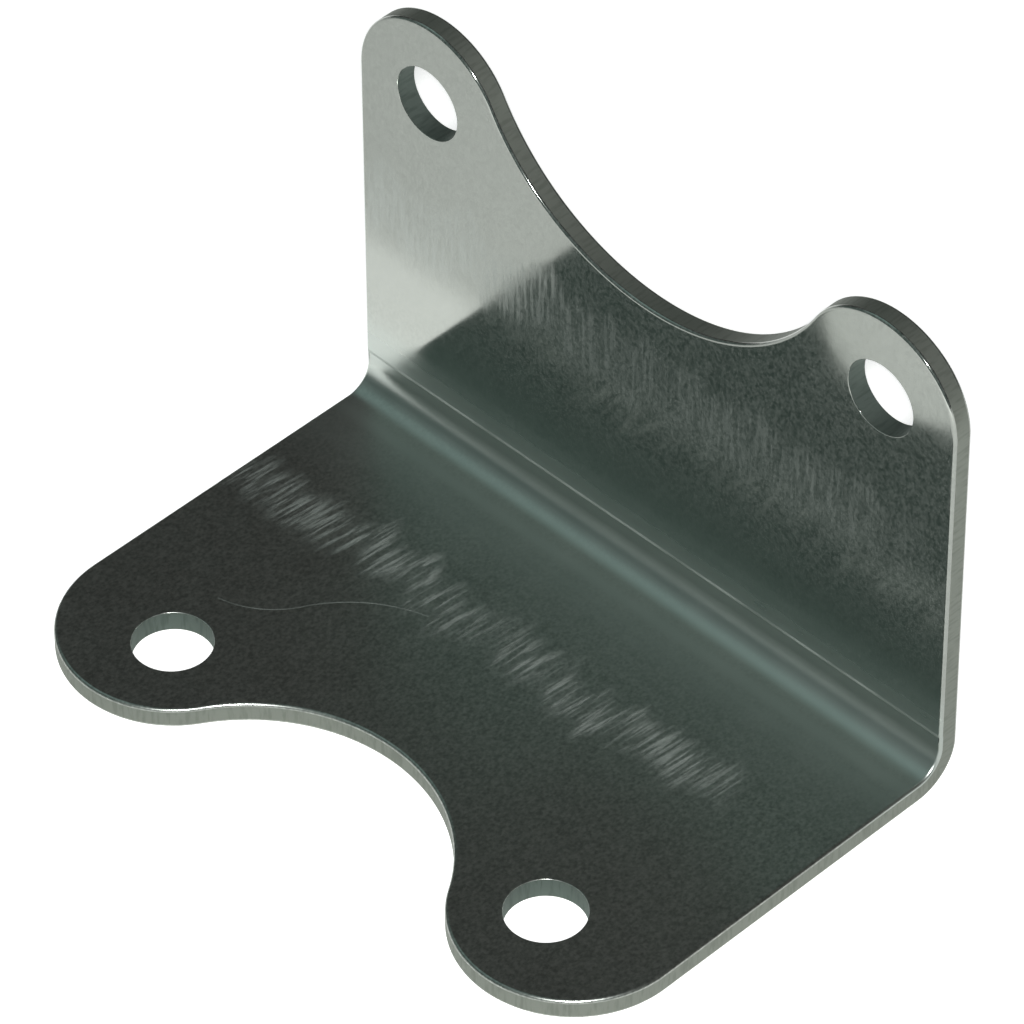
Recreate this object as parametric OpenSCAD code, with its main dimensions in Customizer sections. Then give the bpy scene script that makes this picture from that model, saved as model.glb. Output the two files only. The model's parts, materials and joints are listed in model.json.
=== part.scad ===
/* [Sheet] */
// Thickness of the stainless steel sheet
sheet_t = 1.5; // [1:0.1:2.5]
// Width of the bracket, along its fold
width = 50.8; // [46:0.2:70]
// Radius on the inside of the fold
fold_r = 1.8; // [0.6:0.1:4]
// Radius to which every edge of the sheet is rounded off
edge_r = 0.3; // [0.1:0.05:0.45]
// Diameter of the four bolt holes
hole_d = 5.3; // [3:0.1:6.5]

/* [Base leaf] */
// Reach of the base, from the back of the upright to the tips of its ears
base_reach = 33.6; // [28:0.2:60]
// Radius of the base's two ears
base_ear_r = 7.8; // [6.5:0.1:9]
// Depth of the base's cut-out below the tips of its ears
base_cut_depth = 9.7; // [8.5:0.1:14]
// Distance from the side of the base in to each of its bolt holes
base_hole_side = 8.8; // [6:0.05:10]
// Distance from the tips of the base's ears back to its bolt holes
base_hole_tip = 6.45; // [5.5:0.05:10]

/* [Upright leaf] */
// Height of the upright, from the underside of the base to the tips of its ears
upright_height = 34.9; // [28:0.2:60]
// Radius of the upright's two ears
upright_ear_r = 6.2; // [5.5:0.1:9]
// Depth of the upright's cut-out below the tips of its ears
upright_cut_depth = 11.15; // [9.5:0.1:16]
// Distance from the side of the upright in to each of its bolt holes
upright_hole_side = 6.05; // [5:0.05:9]
// Distance from the tips of the upright's ears down to its bolt holes
upright_hole_tip = 6.15; // [5:0.05:9]

/* [Hidden] */
$fn = 96;
steel = "#9fa5a3";
// Radius on the outside of the fold
fold_outer_r = fold_r + sheet_t;
// Width of the lip that carries a cut-out's rounded edge
lip_w = 4 * edge_r;
// Turn by which the two halves of an ear's round, or of a lip, run over each other
overlap_turn = 10;

// A value down to its thousandths: the rest of it is added as a fine move of its own,
// so that the round of an ear and the lip of a cut-out meet without a step
function rough(value) = floor(value * 1000) / 1000;

// Section of the sheet from its middle out to one rounded edge
module rim_section(reach) {
    square([reach - edge_r, sheet_t]);
    translate([0, edge_r]) square([reach, sheet_t - 2 * edge_r]);
    for (z = [edge_r, sheet_t - edge_r])
        translate([reach - edge_r, z]) circle(edge_r);
}

// Whole section of the sheet, from side to side
module sheet_section() {
    for (side = [0, 1])
        mirror([side, 0]) rim_section(width / 2);
}

// Section of what a round cut takes out of the sheet, leaving rounded edges behind
module cut_section(r) {
    difference() {
        square([r + edge_r, sheet_t]);
        translate([r, edge_r]) square([2 * edge_r, sheet_t - 2 * edge_r]);
        for (z = [edge_r, sheet_t - edge_r])
            translate([r + edge_r, z]) circle(edge_r);
    }
}

// Section of the lip around a round cut
module lip_section(r) {
    difference() {
        translate([r, 0]) square([lip_w, sheet_t]);
        cut_section(r);
    }
}

// Right ear, from the straight side round to the line where the lip takes over
module ear(r, turn) {
    rotate_extrude(angle = 90) rim_section(r);
    rotate(turn - rough(turn))
        rotate_extrude(angle = 90 - turn - overlap_turn, start = rough(turn)) rim_section(r);
}

// Right half of the lip, from the line where the ear ends down past the middle
module lip(r, turn) {
    rotate(turn - rough(turn))
        rotate_extrude(angle = 90 - turn - overlap_turn, start = rough(turn) - 180) lip_section(r);
}

// One flat leaf, outer face down, with the fold along X and the ears towards +Y.
// The cut-out is the arc that touches both ears and reaches cut_depth below their tips.
module leaf(reach, ear_r, cut_depth, hole_side, hole_tip) {
    ear_x = width / 2 - ear_r;
    ear_y = reach - ear_r;
    drop = cut_depth - ear_r;
    cut_r = rough((ear_x ^ 2 + drop ^ 2 - ear_r ^ 2) / (2 * cut_depth));
    cut_y = ear_y + sqrt((ear_r + cut_r) ^ 2 - ear_x ^ 2);
    turn = 180 - acos(ear_x / (ear_r + cut_r));
    difference() {
        union() {
            difference() {
                union() {
                    translate([0, ear_y, 0])
                        rotate([90, 0, 0])
                            linear_extrude(ear_y - fold_outer_r) sheet_section();
                    linear_extrude(sheet_t)
                        polygon([[-ear_x, ear_y], [ear_x, ear_y], [0, cut_y + lip_w]]);
                }
                translate([0, cut_y, -sheet_t]) cylinder(r = cut_r + lip_w / 2, h = 3 * sheet_t);
            }
            for (side = [0, 1])
                mirror([side, 0, 0]) {
                    translate([ear_x, ear_y, 0]) ear(ear_r, turn);
                    translate([0, rough(cut_y), 0])
                        translate([0, cut_y - rough(cut_y), 0])
                            lip(cut_r, turn);
                }
        }
        for (side = [-1, 1])
            translate([side * (width / 2 - hole_side), reach - hole_tip, 0])
                rotate_extrude() cut_section(hole_d / 2);
    }
}

// Quarter turn of the sheet between the two leaves
module fold() {
    translate([0, -fold_outer_r, fold_outer_r])
        rotate([0, 90, 0])
            rotate_extrude(angle = 90)
                translate([fold_outer_r, 0])
                    rotate(90) sheet_section();
}

// The bracket stands on its base, with the upright at the back and the fold along X
module bracket() {
    color(steel)
        translate([0, base_reach / 2, 0]) {
            rotate(180)
                leaf(base_reach, base_ear_r, base_cut_depth, base_hole_side, base_hole_tip);
            rotate([90, 0, 0])
                leaf(upright_height, upright_ear_r, upright_cut_depth,
                     upright_hole_side, upright_hole_tip);
            fold();
        }
}

bracket();
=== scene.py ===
"""Air conveyor mounting bracket: one folded stainless sheet, and the stage it is seen on."""

import json
import math

import bmesh
import bpy
from bpy.props import FloatProperty, FloatVectorProperty, PointerProperty
from mathutils import Matrix, Vector


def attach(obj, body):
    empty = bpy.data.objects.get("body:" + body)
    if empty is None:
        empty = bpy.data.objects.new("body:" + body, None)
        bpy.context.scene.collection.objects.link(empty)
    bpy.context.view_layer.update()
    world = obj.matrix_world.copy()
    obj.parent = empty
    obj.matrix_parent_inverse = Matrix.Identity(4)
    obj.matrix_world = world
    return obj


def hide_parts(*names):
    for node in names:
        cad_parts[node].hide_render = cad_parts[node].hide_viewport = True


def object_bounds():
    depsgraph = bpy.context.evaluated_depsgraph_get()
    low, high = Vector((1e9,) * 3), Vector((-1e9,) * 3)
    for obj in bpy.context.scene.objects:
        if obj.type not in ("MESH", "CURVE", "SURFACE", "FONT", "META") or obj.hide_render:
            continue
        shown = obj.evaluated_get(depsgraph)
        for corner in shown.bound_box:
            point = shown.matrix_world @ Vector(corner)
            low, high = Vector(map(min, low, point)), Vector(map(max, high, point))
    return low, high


bl_info = {
    "name": "Air Conveyor Mounting Bracket",
    "version": (1, 0, 0),
    "blender": (4, 5, 0),
    "location": "View3D > Sidebar > Bracket",
    "description": "Models a folded stainless bracket with four bolt holes, and sets its stage",
    "category": "Add Mesh",
}

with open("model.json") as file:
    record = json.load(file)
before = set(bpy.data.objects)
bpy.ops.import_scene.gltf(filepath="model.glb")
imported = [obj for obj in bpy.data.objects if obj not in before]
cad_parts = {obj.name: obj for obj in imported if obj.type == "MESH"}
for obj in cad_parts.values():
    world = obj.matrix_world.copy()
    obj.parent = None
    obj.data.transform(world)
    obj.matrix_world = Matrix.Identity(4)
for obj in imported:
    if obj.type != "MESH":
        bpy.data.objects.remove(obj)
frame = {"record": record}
cad_low, cad_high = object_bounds()

MM = 0.001
NODE = "bracket"
BODY = "root"
MOUNTS = {mount["name"]: mount for mount in frame["record"]["mounts"]}

# steps in each round, and in each half of the crease
EAR_STEPS = 72
CUT_STEPS = 64
HOLE_STEPS = 96
FOLD_STEPS = 30
EDGE_STEPS = 6
CREASE_STEPS = 2
FLOOR_STEPS = 96
# points closer together than this are one point
WELD = 1e-6
# how square-on a face's normal must be for the face to count as flat, as part of the upright's front,
# and as part of the sheet's two sides rather than of a rim
FLAT = 0.99999
FRONT = 0.9
SIDE = 0.5
# material slots of the faces, the cut edges and the hole walls; each pair is the base's and then
# the upright's
LEAVES = 2
FACE, EDGE, WALL = 0, 2, 4
# sockets of the Mix node when it mixes colours
MIX_A, MIX_B, MIX_RESULT = 6, 7, 2
WHITE = (1, 1, 1, 1)

# height up the upright of the line that the folding tool pressed
CREASE_AT = 4.3 * MM

# finish of each leaf, with places along the axis across the fold where no other is named
# grain: least and most of the pale steel in the mottled grain
# blur, pressed_blur: least and most roughness of the plain face, and what the pressed part adds
# rubbed, rubbed_end: sides of the band that the folding tool rubbed, and its end along the fold
# slant, haze: turn of the streaks in that band, and how much of it shows between them
# film: where the change of the pale film starts and ends, and how metallic the grain looks there
# pressed: where the part that the tool pressed starts to show, and from where it shows in full
# lines: fine lines; each row of a line gives an axis or a point, how far along or from it the line is,
# and by how much it may be off
BASE_MARKS = {
    "grain": (0.0, 1.0),
    "blur": (0.28, 0.31),
    "pressed_blur": 0.06,
    "rubbed": (2.7 * MM, 5.8 * MM),
    "rubbed_end": 17.5 * MM,
    "slant": (0, 0, math.radians(-4)),
    "haze": 0.1,
    "film": (-9.0 * MM, 4.0 * MM, 0.994, 1.0),
    "pressed": (5.0 * MM, 13.0 * MM),
    "lines": (
        (
            (Vector((-18.75, 0.76, 1.5)) * MM, 6.49 * MM, 0.04 * MM),
            ("X", -15.2 * MM, 2.3 * MM),
            ("Y", -3.9 * MM, 1.8 * MM),
        ),
        (
            (Vector((-3.88, -7.57, 1.5)) * MM, 10.57 * MM, 0.04 * MM),
            ("X", -9.9 * MM, 3.2 * MM),
            ("Y", 0.2 * MM, 2.6 * MM),
        ),
    ),
}
UPRIGHT_MARKS = {
    "grain": (0.4, 0.6),
    "blur": (0.07, 0.1),
    "pressed_blur": 0.3,
    "rubbed": (15.5 * MM, 20.8 * MM),
    "rubbed_end": 23.0 * MM,
    "slant": (0, 0, 0),
    "haze": 0.3,
    "film": (8.0 * MM, 15.0 * MM, 0.99, 0.89),
    "pressed": (9.0 * MM, 4.0 * MM),
    "lines": ((("Z", CREASE_AT, 0.14 * MM), ("Y", 15.27 * MM, 0.05 * MM)),),
}

# noise patterns of the faces: size across the fold and along it in millimetres, and detail;
# the rolled grain is finer than the picture shows, so it is drawn about 0.2 mm wide
PATTERNS = {
    "grain": (0.26, 0.2, 2.0),
    "cloud": (2.4, 2.4, 4.0),
    "die": (0.8, 90.0, 0.0),
    "stagger": (60.0, 2.2, 3.0),
    "patch": (60.0, 4.0, 1.0),
    "streak": (2.6, 0.2, 1.0),
}
# range of a pattern's values over which it goes from least to most
NOISE_LOW, NOISE_HIGH = 0.3, 0.7
DIE_LOW, DIE_HIGH = 0.35, 0.65
SCUFF_LOW, SCUFF_HIGH = 0.35, 0.6
CUT_LOW, CUT_HIGH = 0.36, 0.52
# middle and reach of the patterns' steps between plain and rubbed
PATCH_STEP = (0.36, 0.14)
STREAK_STEP = (0.52, 0.16)
# how far the rubbed band wanders across the fold, and how far its sides and its end fade
STAGGER = 6.0 * MM
SIDE_FADE = 1.1 * MM
END_FADE = 1.5 * MM
# least strength of the pressed part between the lines that the die left
DIE_LEAST = 0.75
# what rubbing adds to the roughness, what it takes from the metallic look, and how it stands up
RUBBED_BLUR = 0.45
RUBBED_DULL = 0.12
RUBBED_BUMP = {"Strength": 0.04, "Distance": 0.02 * MM}
# lines of the cut edges: length through the sheet and width in millimetres, detail, and how they stand
# up; the lines of a real cut are finer than the picture shows, so they are drawn about 0.25 mm apart
CUT_LINE = (1.6, 0.24)
CUT_DETAIL = 3.0
CUT_BUMP = {"Strength": 0.07, "Distance": 0.05 * MM}

FLOOR_R = 4.0
FLOOR_GAP = 0.02 * MM
# painted light on the floor that only the metal shows: a pool of light brightest to the left and back of
# the first pair, falling to a plain level to the right and front of the second, as painted shade there
PALE_X, PALE_Y = -5 * MM, 4.9 * MM
PLAIN_X, PLAIN_Y = 5 * MM, 2.3 * MM
PLAIN_GLEAM = 0.1
# the key light keeps the floor white out to here, and the lift alone does from here on
WHITE_R = 60 * MM
PALE_R = 400 * MM
# the band round the horizon that is the far end of the floor
HORIZON_LOW = math.radians(0.2)
HORIZON_HIGH = math.radians(0.8)
# how far a direction points to the back where the room is all back, and where it is all front
ROOM_BACK, ROOM_FRONT = 0.5, -0.6
# width of the camera's sensor in millimetres
SENSOR_W = 36


def linear(colour):
    """An sRGB hex colour as linear red, green and blue."""
    parts = [int(colour[i : i + 2], 16) / 255 for i in (1, 3, 5)]
    return [c / 12.92 if c <= 0.04045 else ((c + 0.055) / 1.055) ** 2.4 for c in parts]


class BracketSizes(bpy.types.PropertyGroup):
    """Sizes of the folded sheet that its box and bolt holes don't give."""

    sheet_t: FloatProperty(
        name="Sheet", description="Thickness of the sheet", default=1.5 * MM, unit="LENGTH"
    )
    fold_r: FloatProperty(
        name="Fold", description="Radius on the inside of the fold", default=1.8 * MM, unit="LENGTH"
    )
    edge_r: FloatProperty(
        name="Edges", description="Radius of the rounded-off edges", default=0.22 * MM, unit="LENGTH"
    )
    hole_edge_r: FloatProperty(
        name="Hole edges",
        description="Radius of the bolt holes' edges",
        default=0.04 * MM,
        unit="LENGTH",
    )
    base_ear_r: FloatProperty(
        name="Base ears", description="Radius of the base's ears", default=7.8 * MM, unit="LENGTH"
    )
    base_cut_depth: FloatProperty(
        name="Base cut-out",
        description="Depth of the base's cut-out below the tips of its ears",
        default=9.7 * MM,
        unit="LENGTH",
    )
    upright_ear_r: FloatProperty(
        name="Upright ears",
        description="Radius of the upright's ears",
        default=6.2 * MM,
        unit="LENGTH",
    )
    upright_cut_depth: FloatProperty(
        name="Upright cut-out",
        description="Depth of the upright's cut-out below the tips of its ears",
        default=11.15 * MM,
        unit="LENGTH",
    )
    crease_at: FloatProperty(
        name="Crease place",
        description="Height up the upright of the line that the folding tool pressed",
        default=CREASE_AT,
        unit="LENGTH",
    )
    crease_w: FloatProperty(
        name="Crease width", description="Width of the pressed line", default=0.4 * MM, unit="LENGTH"
    )
    crease_h: FloatProperty(
        name="Crease height",
        description="Half the height of the low step at the pressed line",
        default=0.02 * MM,
        unit="LENGTH",
    )


class BracketFinish(bpy.types.PropertyGroup):
    """Colours and finish of the steel."""

    steel: FloatVectorProperty(
        name="Steel",
        description="Colour of the cold-rolled face",
        default=linear("#c1c5bf"),
        subtype="COLOR",
    )
    steel_dark: FloatVectorProperty(
        name="Steel grain",
        description="Colour down in the grain of the cold-rolled face",
        default=linear("#969a95"),
        subtype="COLOR",
    )
    rubbed: FloatVectorProperty(
        name="Rubbed steel",
        description="Colour of the marks that the folding tool rubbed",
        default=linear("#b4bab6"),
        subtype="COLOR",
    )
    pressed: FloatVectorProperty(
        name="Pressed steel",
        description="Colour of the hazy part along the fold",
        default=linear("#bcc3be"),
        subtype="COLOR",
    )
    base_streaks: FloatProperty(
        name="Base streaks",
        description="Strength of the rubbed streaks on the base",
        default=0.62,
        subtype="FACTOR",
    )
    upright_streaks: FloatProperty(
        name="Upright streaks",
        description="Strength of the rubbed streaks on the upright",
        default=0.38,
        subtype="FACTOR",
    )
    scratch: FloatProperty(
        name="Scratch",
        description="Strength of the fine scratch on the base",
        default=0.5,
        subtype="FACTOR",
    )
    scuff: FloatProperty(
        name="Scuff",
        description="Strength of the scuffed line along the upright's crease",
        default=0.6,
        subtype="FACTOR",
    )
    # the cut edges' grey is partly their satin finish and partly painted shade: darker than the faces'
    # steel, for the shaded floor that the rims mirror
    edge: FloatVectorProperty(
        name="Cut edge",
        description="Colour of the cut edges",
        default=linear("#91968e"),
        subtype="COLOR",
    )
    edge_lines: FloatVectorProperty(
        name="Cut edge lines",
        description="Colour down in the fine lines of the cut edges",
        default=linear("#868b83"),
        subtype="COLOR",
    )
    edge_roughness: FloatProperty(
        name="Cut edge roughness",
        description="Roughness of the cut edges",
        default=0.58,
        subtype="FACTOR",
    )
    # painted shade: the holes' walls and their lines are darker and greener than the cut edges, standing
    # in for the shade down in the bolt holes
    hole_painted_shade: FloatVectorProperty(
        name="Hole wall",
        description="Colour of the bolt holes' walls",
        default=linear("#717c76"),
        subtype="COLOR",
    )
    hole_lines_painted_shade: FloatVectorProperty(
        name="Hole wall lines",
        description="Colour down in the fine lines of the holes' walls",
        default=linear("#66716b"),
        subtype="COLOR",
    )
    hole_roughness: FloatProperty(
        name="Hole wall roughness",
        description="Roughness of the bolt holes' walls",
        default=0.65,
        subtype="FACTOR",
    )


class BracketStage(bpy.types.PropertyGroup):
    """Floor, light and camera."""

    floor: FloatVectorProperty(
        name="Floor", description="Colour of the floor", default=linear("#f0f0ee"), subtype="COLOR"
    )
    floor_lift: FloatProperty(
        name="Floor lift",
        description="Light added to the floor as the camera sees it",
        default=0.62,
    )
    floor_gleam: FloatProperty(
        name="Floor gleam",
        description="Light added to the floor at the left and back as the metal shows it",
        default=0.53,
    )
    key: FloatProperty(
        name="Key", description="Power of the key light", default=10.8, subtype="POWER"
    )
    key_r: FloatProperty(
        name="Key size", description="Radius of the key light", default=12 * MM, unit="LENGTH"
    )
    key_behind: FloatProperty(
        name="Key place",
        description="How far behind the camera the key light is",
        default=30 * MM,
        unit="LENGTH",
    )
    overhead: FloatVectorProperty(
        name="Overhead",
        description="Colour of the soft light overhead",
        default=linear("#859c99"),
        subtype="COLOR",
    )
    overhead_from: FloatVectorProperty(
        name="Overhead from",
        description="Direction that the soft light comes from",
        default=(-0.518, -0.148, 0.842),
        subtype="DIRECTION",
    )
    overhead_reach: FloatProperty(
        name="Overhead reach",
        description="Angle from its middle at which the soft light has faded out",
        default=math.radians(28.5),
        subtype="ANGLE",
    )
    room_front: FloatVectorProperty(
        name="Room front",
        description="Colour of the room in front",
        default=linear("#566562"),
        subtype="COLOR",
    )
    room_back: FloatVectorProperty(
        name="Room back",
        description="Colour of the room behind",
        default=linear("#424140"),
        subtype="COLOR",
    )
    azimuth: FloatProperty(
        name="Azimuth",
        description="Turn of the camera round the bracket",
        default=math.radians(45.37),
        subtype="ANGLE",
    )
    elevation: FloatProperty(
        name="Elevation",
        description="Angle of the camera above the floor",
        default=math.radians(43.285),
        subtype="ANGLE",
    )
    roll: FloatProperty(
        name="Roll",
        description="Turn of the camera about its own line of sight",
        default=math.radians(-0.409),
        subtype="ANGLE",
    )
    distance: FloatProperty(
        name="Distance",
        description="Distance from the camera to the point that it aims at",
        default=462.05 * MM,
        unit="LENGTH",
    )
    aim: FloatVectorProperty(
        name="Aim",
        description="Point at the middle of the picture",
        default=(-0.843 * MM, 4.226 * MM, 13.43 * MM),
        subtype="TRANSLATION",
    )
    lens: FloatProperty(
        name="Lens", description="Focal length of the camera", default=262.78, unit="CAMERA"
    )


def add_node(tree, kind, inputs=None, output=0, **settings):
    """Adds a node with its settings, links or sets its inputs, and gives one of its outputs."""
    node = tree.nodes.new(kind)
    for name, value in settings.items():
        setattr(node, name, value)
    for key, value in (inputs or {}).items():
        if isinstance(value, bpy.types.NodeSocket):
            tree.links.new(value, node.inputs[key])
        else:
            node.inputs[key].default_value = value
    return node.outputs[output] if node.outputs else node


def new_tree(owner):
    """An empty node tree for a material or the world."""
    owner.use_nodes = True
    owner.node_tree.nodes.clear()
    return owner.node_tree


def sized(axis, on_axis, off_axis):
    """Size of a pattern's features, given in millimetres on an axis and off it."""
    return [MM * (on_axis if a == axis else off_axis) for a in "XYZ"]


def rubbed_marks(tree, place, at, noise, marks, streaks, scuff):
    """How much each place is rubbed: the ragged band of short streaks, and the fine lines."""
    along = add_node(tree, "ShaderNodeSeparateXYZ", {0: place}, output="X")
    ragged = add_node(
        tree, "ShaderNodeMath", {0: noise["stagger"], 1: STAGGER, 2: at}, operation="MULTIPLY_ADD"
    )
    first, last = [side + STAGGER / 2 for side in marks["rubbed"]]
    worn = streaks
    for value, middle, reach, least in (
        (ragged, first, SIDE_FADE, 0.0),
        (ragged, last, -SIDE_FADE, 0.0),
        (along, marks["rubbed_end"], -END_FADE, 0.0),
        (noise["patch"], *PATCH_STEP, marks["haze"]),
        (noise["streak"], *STREAK_STEP, marks["haze"]),
    ):
        step = add_node(
            tree,
            "ShaderNodeMapRange",
            {"Value": value, "From Min": middle - reach, "From Max": middle + reach, "To Min": least},
            interpolation_type="SMOOTHSTEP",
        )
        worn = add_node(tree, "ShaderNodeMath", {0: worn, 1: step}, operation="MULTIPLY")
    scuffed = add_node(
        tree,
        "ShaderNodeMapRange",
        {
            "Value": noise["patch"],
            "From Min": SCUFF_LOW,
            "From Max": SCUFF_HIGH,
            "To Min": scuff / 2,
            "To Max": scuff,
        },
    )
    for rows in marks["lines"]:
        line = scuffed
        for where, value, reach in rows:
            if isinstance(where, str):
                measured = add_node(tree, "ShaderNodeSeparateXYZ", {0: place}, output=where)
            else:
                measured = add_node(
                    tree,
                    "ShaderNodeVectorMath",
                    {0: place, 1: where},
                    output="Value",
                    operation="DISTANCE",
                )
            step = add_node(
                tree, "ShaderNodeMath", {0: measured, 1: value, 2: reach}, operation="COMPARE"
            )
            line = add_node(tree, "ShaderNodeMath", {0: line, 1: step}, operation="MULTIPLY")
        worn = add_node(tree, "ShaderNodeMath", {0: worn, 1: line}, operation="MAXIMUM")
    return worn


def stainless_mill_finish(name, across, marks, streaks, scuff):
    """Stainless sheet, cold-rolled and annealed (a mill finish): a soft grey mirror.

    It shows the floor and the other leaf a little blurred, under a fine mottled grain and a thin pale
    film. Where the folding tool slid it has a band of short rubbed streaks, and where the tool pressed
    it is hazier, with faint lines along the fold.
    across is the axis that runs across the fold. streaks and scuff are the strength of the rubbed
    streaks and of the fine lines.
    """
    finish = bpy.context.scene.bracket_finish
    material = bpy.data.materials.new(name)
    tree = new_tree(material)
    place = add_node(tree, "ShaderNodeTexCoord", output="Object")
    at = add_node(tree, "ShaderNodeSeparateXYZ", {0: place}, output=across)
    noise = {}
    for pattern, (on_axis, off_axis, detail) in PATTERNS.items():
        scaled = add_node(
            tree,
            "ShaderNodeMapping",
            {
                0: place,
                "Rotation": marks["slant"] if pattern == "streak" else (0, 0, 0),
                "Scale": sized(across, on_axis, off_axis),
            },
            vector_type="TEXTURE",
        )
        noise[pattern] = add_node(
            tree, "ShaderNodeTexNoise", {0: scaled, "Scale": 1.0, "Detail": detail}
        )

    worn = rubbed_marks(tree, place, at, noise, marks, streaks, scuff)
    die = add_node(
        tree,
        "ShaderNodeMapRange",
        {"Value": noise["die"], "From Min": DIE_LOW, "From Max": DIE_HIGH, "To Min": DIE_LEAST},
    )
    plain, full = marks["pressed"]
    pressed = add_node(
        tree,
        "ShaderNodeMapRange",
        {"Value": at, "From Min": plain, "From Max": full, "To Max": die},
        interpolation_type="SMOOTHSTEP",
    )
    start, end, first, last = marks["film"]
    film = add_node(
        tree,
        "ShaderNodeMapRange",
        {"Value": at, "From Min": start, "From Max": end, "To Min": first, "To Max": last},
    )
    spread = {"From Min": NOISE_LOW, "From Max": NOISE_HIGH}
    ranges = []
    for pattern, least, most in (
        ("grain", *marks["grain"]),
        ("cloud", *marks["blur"]),
        ("grain", 1.0, film),
    ):
        ranges.append(
            add_node(
                tree,
                "ShaderNodeMapRange",
                {"Value": noise[pattern], **spread, "To Min": least, "To Max": most},
            )
        )
    grain, roughness, metallic = ranges

    colour = (*finish.steel_dark, 1)
    for factor, tint in (
        (grain, finish.steel),
        (pressed, finish.pressed),
        (worn, finish.rubbed),
    ):
        colour = add_node(
            tree,
            "ShaderNodeMix",
            {0: factor, MIX_A: colour, MIX_B: (*tint, 1)},
            output=MIX_RESULT,
            data_type="RGBA",
        )
    for factor, rougher in ((pressed, marks["pressed_blur"]), (worn, RUBBED_BLUR)):
        roughness = add_node(
            tree, "ShaderNodeMath", {0: factor, 1: rougher, 2: roughness}, operation="MULTIPLY_ADD"
        )
    metallic = add_node(
        tree, "ShaderNodeMath", {0: worn, 1: -RUBBED_DULL, 2: metallic}, operation="MULTIPLY_ADD"
    )
    bump = add_node(tree, "ShaderNodeBump", {"Height": worn, **RUBBED_BUMP})
    shader = add_node(
        tree,
        "ShaderNodeBsdfPrincipled",
        {"Base Color": colour, "Metallic": metallic, "Roughness": roughness, "Normal": bump},
    )
    add_node(tree, "ShaderNodeOutputMaterial", {"Surface": shader})
    return material


def stainless_cut_edge(name, through, light, dark, roughness):
    """Stainless cut through and deburred: satin grey, with fine lines from face to face.

    through is the axis that runs through the sheet, and dark is the colour down in the lines. The
    colours given carry painted shade: in part for the cut edges, and in full for the hole walls.
    """
    material = bpy.data.materials.new(name)
    tree = new_tree(material)
    place = add_node(tree, "ShaderNodeTexCoord", output="Object")
    scaled = add_node(
        tree,
        "ShaderNodeMapping",
        {0: place, "Scale": sized(through, *CUT_LINE)},
        vector_type="TEXTURE",
    )
    lines = add_node(tree, "ShaderNodeTexNoise", {0: scaled, "Scale": 1.0, "Detail": CUT_DETAIL})
    shade = add_node(
        tree, "ShaderNodeMapRange", {"Value": lines, "From Min": CUT_LOW, "From Max": CUT_HIGH}
    )
    colour = add_node(
        tree,
        "ShaderNodeMix",
        {0: shade, MIX_A: (*dark, 1), MIX_B: (*light, 1)},
        output=MIX_RESULT,
        data_type="RGBA",
    )
    bump = add_node(tree, "ShaderNodeBump", {"Height": lines, **CUT_BUMP})
    shader = add_node(
        tree,
        "ShaderNodeBsdfPrincipled",
        {"Base Color": colour, "Metallic": 1.0, "Roughness": roughness, "Normal": bump},
    )
    add_node(tree, "ShaderNodeOutputMaterial", {"Surface": shader})
    return material


def white_paper(stage):
    """White paper, plain and uncoated: matt, so it scatters light evenly and mirrors nothing.

    The camera sees it lifted to white, and the metal shows a painted pool of light on it, brightest to
    the left and back.
    """
    material = bpy.data.materials.new("white_paper")
    tree = new_tree(material)
    paper = add_node(tree, "ShaderNodeBsdfDiffuse", {"Color": (*stage.floor, 1)})
    place = add_node(tree, "ShaderNodeTexCoord", output="Object")
    away = add_node(
        tree, "ShaderNodeVectorMath", {0: place}, output="Value", operation="LENGTH"
    )
    # painted light that only the metal shows: the gleam is full to the left and back and falls to
    # PLAIN_GLEAM to the right and front, as painted shade there
    near = stage.floor_gleam
    for axis, plain, pale in (("X", PLAIN_X, PALE_X), ("Y", PLAIN_Y, PALE_Y)):
        value = add_node(tree, "ShaderNodeSeparateXYZ", {0: place}, output=axis)
        near = add_node(
            tree,
            "ShaderNodeMapRange",
            {
                "Value": value,
                "From Min": plain,
                "From Max": pale,
                "To Min": PLAIN_GLEAM,
                "To Max": near,
            },
        )
    white = add_node(
        tree,
        "ShaderNodeMapRange",
        {"Value": away, "From Min": WHITE_R, "From Max": PALE_R, "To Min": stage.floor_lift},
    )
    seen = 0.0
    for ray, light in (
        ("Is Camera Ray", white),
        ("Is Glossy Ray", near),
        ("Is Transmission Ray", near),
    ):
        is_ray = add_node(tree, "ShaderNodeLightPath", output=ray)
        seen = add_node(
            tree, "ShaderNodeMath", {0: is_ray, 1: light, 2: seen}, operation="MULTIPLY_ADD"
        )
    lift = add_node(tree, "ShaderNodeEmission", {"Strength": seen})
    both = add_node(tree, "ShaderNodeAddShader", {0: paper, 1: lift})
    add_node(tree, "ShaderNodeOutputMaterial", {"Surface": both})
    return material


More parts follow.
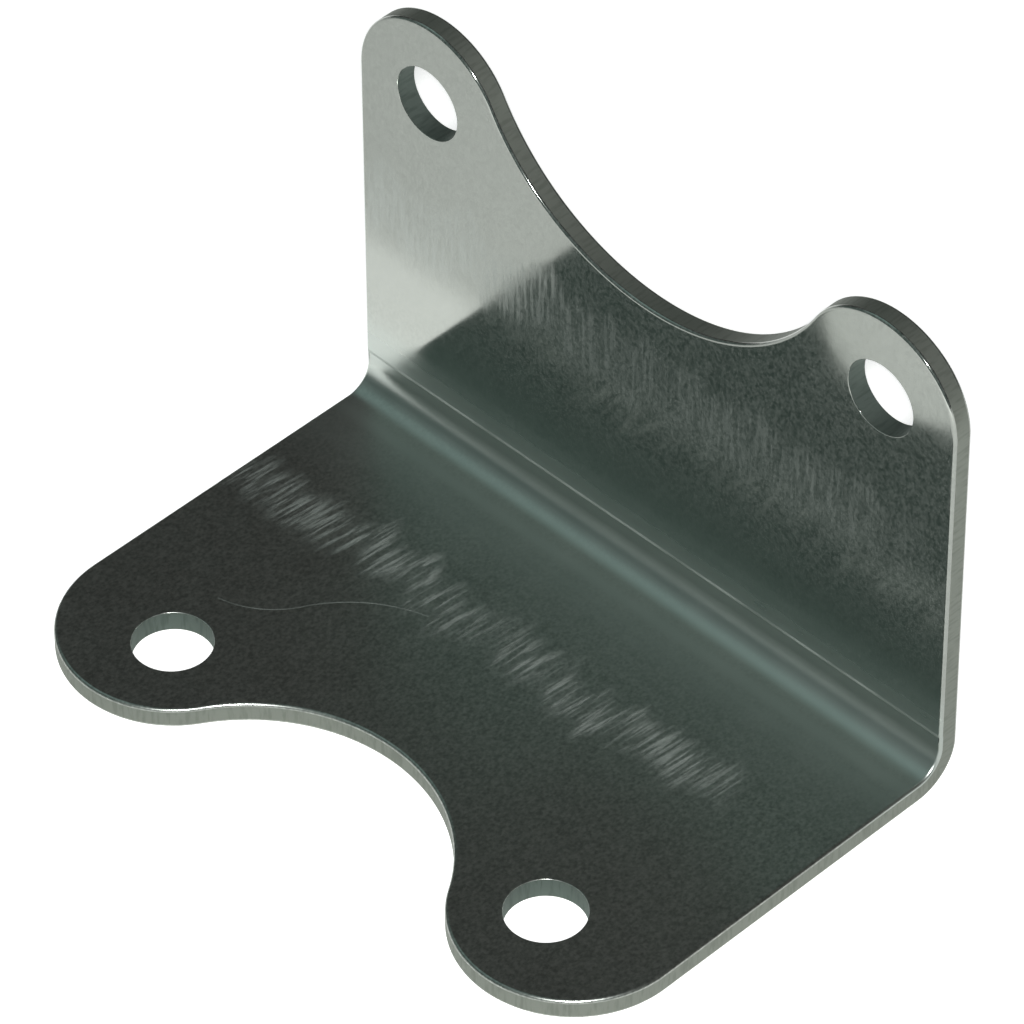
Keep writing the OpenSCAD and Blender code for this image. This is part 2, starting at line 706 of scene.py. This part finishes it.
def leaf_outline(bm, place, reach, ear_r, cut_depth, bolts, bolt_row, fold_line):
    """One leaf's inner face, drawn flat with its fold along X and its ears towards +Y, then placed.

    The cut-out is the arc that touches both ears and reaches cut_depth below their tips.
    """
    half_w = (cad_high.x - cad_low.x) / 2
    ear = Vector((half_w - ear_r, reach - ear_r, 0))
    drop = cut_depth - ear_r
    cut_r = (ear.x**2 + drop**2 - ear_r**2) / (2 * cut_depth)
    cut = Vector((0, reach - cut_depth + cut_r, 0))
    lean = math.acos(ear.x / (ear_r + cut_r))

    drawn = set(bm.verts)
    foot = bm.verts.new((half_w, fold_line, 0))
    tip = [bm.verts.new((half_w, ear.y, 0))]
    bm.edges.new((foot, tip[0]))
    for centre, angle, steps in (
        (ear, math.pi - lean, EAR_STEPS),
        (cut, lean - math.pi / 2, CUT_STEPS),
    ):
        tip = bmesh.ops.spin(
            bm, geom=tip, cent=centre, axis=(0, 0, 1), angle=angle, steps=steps
        )["geom_last"]
    right = [v for v in bm.verts if v not in drawn]
    right += {e for v in right for e in v.link_edges}
    bmesh.ops.mirror(bm, geom=right, axis="X", merge_dist=WELD)
    bm.edges.new([v for v in bm.verts if v not in drawn and len(v.link_edges) == 1])
    half_space = bolts["spacing_x_mm"] * MM / 2
    for x in (-half_space, half_space):
        bmesh.ops.create_circle(
            bm,
            segments=HOLE_STEPS,
            radius=bolts["hole_r_mm"] * MM,
            matrix=Matrix.Translation((x, bolt_row, 0)),
        )
    verts = [v for v in bm.verts if v not in drawn]
    edges = list({e for v in verts for e in v.link_edges})
    bmesh.ops.triangle_fill(bm, edges=edges, use_beauty=True)
    bmesh.ops.transform(bm, matrix=place, verts=verts)


def steady_normals(bm, rounded):
    """Each vertex's normal, from its flat faces where it has any, so that a flat looks flat all over."""
    normals = []
    for vert in bm.verts:
        ranks = {}
        for face in vert.link_faces:
            flat = max(abs(face.normal.y), abs(face.normal.z)) > FLAT
            rank = 0 if face in rounded else 2 if flat else 1
            ranks.setdefault(rank, []).append(face)
        best = ranks[max(ranks)]
        normals.append(sum((f.normal * f.calc_area() for f in best), Vector()).normalized())
    return normals


class BRACKET_OT_sheet(bpy.types.Operator):
    """Models the folded sheet, rounds its edges and gives it its steel."""

    bl_idname = "bracket.sheet"
    bl_label = "Folded Sheet"

    def execute(self, context):
        sizes = context.scene.bracket_sizes
        fold_line = sizes.fold_r + sizes.sheet_t
        axis = Vector((0, cad_high.y - fold_line, cad_low.z + fold_line))
        bm = bmesh.new()
        self.inner_face(bm, sizes, fold_line, axis)
        self.thicken(bm, sizes, fold_line, axis)
        self.sort_faces(bm, axis)
        self.press_crease(bm, sizes)
        rounded = self.round_edges(bm, sizes)
        for face in bm.faces:
            face.smooth = True
        normals = steady_normals(bm, rounded)

        mesh = bpy.data.meshes.new("folded_sheet")
        bm.to_mesh(mesh)
        bm.free()
        mesh.normals_split_custom_set_from_vertices(normals)
        self.add_steel(mesh, context.scene.bracket_finish)
        sheet = bpy.data.objects.new("folded_sheet", mesh)
        context.scene.collection.objects.link(sheet)
        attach(sheet, BODY)
        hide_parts(NODE)
        return {"FINISHED"}

    def inner_face(self, bm, sizes, fold_line, axis):
        """The inner face of both leaves, joined by the fold's quarter turn."""
        base, upright = MOUNTS["base_bolts"], MOUNTS["upright_bolts"]
        leaf_outline(
            bm,
            Matrix.Translation((0, cad_high.y, sizes.sheet_t)) @ Matrix.Rotation(math.pi, 4, "X"),
            cad_high.y - cad_low.y,
            sizes.base_ear_r,
            sizes.base_cut_depth,
            base["dims"],
            cad_high.y - base["pos_m"][1],
            fold_line,
        )
        leaf_outline(
            bm,
            Matrix.Translation((0, cad_high.y - sizes.sheet_t, 0))
            @ Matrix.Rotation(math.pi / 2, 4, "X"),
            cad_high.z,
            sizes.upright_ear_r,
            sizes.upright_cut_depth,
            upright["dims"],
            upright["pos_m"][2],
            fold_line,
        )
        foot = [v for v in bm.verts if abs(v.co.y - axis.y) < WELD and v.co.z < axis.z]
        foot += [e for e in foot[0].link_edges if e.other_vert(foot[0]) is foot[1]]
        bmesh.ops.spin(
            bm, geom=foot, cent=axis, axis=(1, 0, 0), angle=math.pi / 2, steps=FOLD_STEPS
        )
        bmesh.ops.remove_doubles(bm, verts=bm.verts[:], dist=WELD)

    def thicken(self, bm, sizes, fold_line, axis):
        """The outer face, a sheet's thickness behind the inner one, and the rims between them."""
        made = bmesh.ops.extrude_face_region(bm, geom=bm.faces[:], use_keep_orig=True)["geom"]
        verts = [v for v in made if isinstance(v, bmesh.types.BMVert)]
        base = [v for v in verts if v.co.y < axis.y + WELD]
        upright = [v for v in verts if v.co.z > axis.z - WELD]
        fold = list(set(verts) - set(base) - set(upright))
        grow = fold_line / sizes.fold_r
        bmesh.ops.translate(bm, vec=(0, 0, -sizes.sheet_t), verts=base)
        bmesh.ops.translate(bm, vec=(0, sizes.sheet_t, 0), verts=upright)
        bmesh.ops.scale(bm, vec=(1, grow, grow), space=Matrix.Translation(-axis), verts=fold)
        bmesh.ops.recalc_face_normals(bm, faces=bm.faces[:])

    def sort_faces(self, bm, axis):
        """Gives each face its material slot."""
        for face in bm.faces:
            middle = face.calc_center_median()
            off = middle - axis
            upright = off.y + off.z > 0
            in_fold = off.y > 0 and off.z < 0
            through = Vector((0, off.y, off.z)) if in_fold else Vector((0, upright, not upright))
            if abs(face.normal.dot(through.normalized())) > SIDE:
                face.material_index = FACE + upright
                continue
            bolts = MOUNTS["upright_bolts" if upright else "base_bolts"]
            dims = bolts["dims"]
            side = math.copysign(dims["spacing_x_mm"] * MM / 2, middle.x)
            from_bolt = middle - Vector(bolts["pos_m"]) - Vector((side, 0, 0))
            from_bolt[1 if upright else 2] = 0
            in_hole = from_bolt.length < dims["hole_r_mm"] * MM + WELD
            face.material_index = (WALL if in_hole else EDGE) + upright

    def press_crease(self, bm, sizes):
        """The low step that the folding tool's edge pressed along the upright's inner face.

        Each line is cut into the face as the lines below it left it, so their lifts add up to twice
        crease_h, and above the step the face slopes back to flat.
        """
        step = sizes.crease_w / (2 * CREASE_STEPS)
        for i in range(-CREASE_STEPS, CREASE_STEPS + 1):
            front = [f for f in bm.faces if f.material_index == FACE + 1 and f.normal.y < -FRONT]
            around = {e for f in front for e in f.edges} | {v for f in front for v in f.verts}
            line = bmesh.ops.bisect_plane(
                bm,
                geom=front + list(around),
                plane_co=(0, 0, sizes.crease_at + i * step),
                plane_no=(0, 0, 1),
            )["geom_cut"]
            bmesh.ops.translate(
                bm,
                vec=(0, -sizes.crease_h * (CREASE_STEPS - abs(i)) / CREASE_STEPS, 0),
                verts=[v for v in line if isinstance(v, bmesh.types.BMVert)],
            )

    def round_edges(self, bm, sizes):
        """Rounds the edges of the holes and of the outline, and gives the faces of these rounds.

        They have the finish of their leaf's face.
        """
        rounded = set()
        for slot, radius in ((WALL, sizes.hole_edge_r), (EDGE, sizes.edge_r)):
            rims = range(slot, slot + LEAVES)
            edges = [
                e
                for e in bm.edges
                if {f.material_index in rims for f in e.link_faces} == {True, False}
            ]
            made = bmesh.ops.bevel(
                bm,
                geom=edges,
                offset=radius,
                offset_type="OFFSET",
                segments=EDGE_STEPS,
                profile=0.5,
                affect="EDGES",
                clamp_overlap=False,
                loop_slide=False,
                material=-1,
            )
            rounded.update(made["faces"])
        for face in rounded:
            face.material_index = FACE + face.material_index % LEAVES
        return rounded

    def add_steel(self, mesh, finish):
        """The materials, in the order of their slots."""
        # the cut edges' colours are partly painted shade, and the hole walls' colours are painted shade
        edge = (finish.edge, finish.edge_lines, finish.edge_roughness)
        wall = (finish.hole_painted_shade, finish.hole_lines_painted_shade, finish.hole_roughness)
        for material in (
            stainless_mill_finish(
                "base_face", "Y", BASE_MARKS, finish.base_streaks, finish.scratch
            ),
            stainless_mill_finish(
                "upright_face", "Z", UPRIGHT_MARKS, finish.upright_streaks, finish.scuff
            ),
            stainless_cut_edge("base_cut_edge", "Z", *edge),
            stainless_cut_edge("upright_cut_edge", "Y", *edge),
            stainless_cut_edge("base_hole_wall", "Z", *wall),
            stainless_cut_edge("upright_hole_wall", "Y", *wall),
        ):
            mesh.materials.append(material)


class BRACKET_OT_stage(bpy.types.Operator):
    """Lays the floor, sets the light and puts the camera where the photograph was taken."""

    bl_idname = "bracket.stage"
    bl_label = "Stage"

    def execute(self, context):
        scene = context.scene
        stage = scene.bracket_stage
        scene.view_settings.view_transform = "Standard"
        self.floor(scene, stage)
        self.room(scene, stage)
        self.camera_and_key(scene, stage)
        return {"FINISHED"}

    def floor(self, scene, stage):
        """A wide floor of white paper."""
        bm = bmesh.new()
        bmesh.ops.create_circle(bm, cap_ends=True, segments=FLOOR_STEPS, radius=FLOOR_R)
        bmesh.ops.translate(bm, vec=(0, 0, cad_low.z - FLOOR_GAP), verts=bm.verts[:])
        mesh = bpy.data.meshes.new("floor")
        bm.to_mesh(mesh)
        bm.free()
        floor = bpy.data.objects.new("floor", mesh)
        scene.collection.objects.link(floor)
        mesh.materials.append(white_paper(stage))

    def room(self, scene, stage):
        """A dim room: a soft light overhead, a paler front, and the white floor's far end all round."""
        world = bpy.data.worlds.new("dim_room")
        scene.world = world
        tree = new_tree(world)
        direction = add_node(tree, "ShaderNodeTexCoord", output="Generated")
        front = add_node(tree, "ShaderNodeSeparateXYZ", {0: direction}, output="Y")
        front = add_node(
            tree,
            "ShaderNodeMapRange",
            {"Value": front, "From Min": ROOM_BACK, "From Max": ROOM_FRONT},
            interpolation_type="SMOOTHSTEP",
        )
        overhead = add_node(
            tree,
            "ShaderNodeVectorMath",
            {0: direction, 1: Vector(stage.overhead_from).normalized()},
            output="Value",
            operation="DOT_PRODUCT",
        )
        overhead = add_node(
            tree,
            "ShaderNodeMapRange",
            {"Value": overhead, "From Min": math.cos(stage.overhead_reach), "From Max": 1.0},
            interpolation_type="SMOOTHSTEP",
        )
        colour = (*stage.room_back, 1)
        for factor, tint in ((front, stage.room_front), (overhead, stage.overhead)):
            colour = add_node(
                tree,
                "ShaderNodeMix",
                {0: factor, MIX_A: colour, MIX_B: (*tint, 1)},
                output=MIX_RESULT,
                data_type="RGBA",
            )
        room = add_node(tree, "ShaderNodeBackground", {"Color": colour})
        paper = add_node(tree, "ShaderNodeBackground", {"Color": WHITE})
        height = add_node(tree, "ShaderNodeSeparateXYZ", {0: direction}, output="Z")
        horizon = add_node(
            tree,
            "ShaderNodeMapRange",
            {
                "Value": height,
                "From Min": math.sin(HORIZON_LOW),
                "From Max": math.sin(HORIZON_HIGH),
                "To Min": 1.0,
                "To Max": 0.0,
            },
        )
        seen = add_node(tree, "ShaderNodeLightPath", output="Is Camera Ray")
        for ray in ("Is Glossy Ray", "Is Transmission Ray"):
            is_ray = add_node(tree, "ShaderNodeLightPath", output=ray)
            seen = add_node(
                tree, "ShaderNodeMath", {0: is_ray, 1: horizon, 2: seen}, operation="MULTIPLY_ADD"
            )
        both = add_node(tree, "ShaderNodeMixShader", {0: seen, 1: room, 2: paper})
        add_node(tree, "ShaderNodeOutputWorld", {"Surface": both})

    def camera_and_key(self, scene, stage):
        """The camera, and a key light just behind it."""
        level = math.cos(stage.elevation)
        towards = Vector(
            (
                math.sin(stage.azimuth) * level,
                -math.cos(stage.azimuth) * level,
                math.sin(stage.elevation),
            )
        )
        look = (-towards).to_track_quat("-Z", "Y").to_matrix().to_4x4()
        camera = bpy.data.objects.new("camera", bpy.data.cameras.new("camera"))
        camera.data.lens = stage.lens
        camera.data.sensor_width = SENSOR_W
        camera.matrix_world = (
            Matrix.Translation(Vector(stage.aim) + towards * stage.distance)
            @ look
            @ Matrix.Rotation(stage.roll, 4, "Z")
        )
        scene.collection.objects.link(camera)
        scene.camera = camera

        lamp = bpy.data.lights.new("key", "POINT")
        lamp.energy = stage.key
        lamp.shadow_soft_size = stage.key_r
        key = bpy.data.objects.new("key", lamp)
        key.location = Vector(stage.aim) + towards * (stage.distance + stage.key_behind)
        scene.collection.objects.link(key)


class BRACKET_PT_panel(bpy.types.Panel):
    """The bracket's sizes, finish and stage, with the steps that build them."""

    bl_idname = "BRACKET_PT_panel"
    bl_label = "Mounting Bracket"
    bl_space_type = "VIEW_3D"
    bl_region_type = "UI"
    bl_category = "Bracket"

    def draw(self, context):
        for group in (
            context.scene.bracket_sizes,
            context.scene.bracket_finish,
            context.scene.bracket_stage,
        ):
            box = self.layout.box()
            for name in group.__annotations__:
                box.prop(group, name)
        for step in STEPS:
            self.layout.operator(step.bl_idname)


GROUPS = {
    "bracket_sizes": BracketSizes,
    "bracket_finish": BracketFinish,
    "bracket_stage": BracketStage,
}
STEPS = (BRACKET_OT_sheet, BRACKET_OT_stage)


def register():
    for cls in (*GROUPS.values(), *STEPS, BRACKET_PT_panel):
        bpy.utils.register_class(cls)
    for name, group in GROUPS.items():
        setattr(bpy.types.Scene, name, PointerProperty(type=group))


def unregister():
    for name in GROUPS:
        delattr(bpy.types.Scene, name)
    for cls in reversed((*GROUPS.values(), *STEPS, BRACKET_PT_panel)):
        bpy.utils.unregister_class(cls)


def main():
    register()
    bpy.ops.bracket.sheet()
    bpy.ops.bracket.stage()


if __name__ == "__main__":
    main()
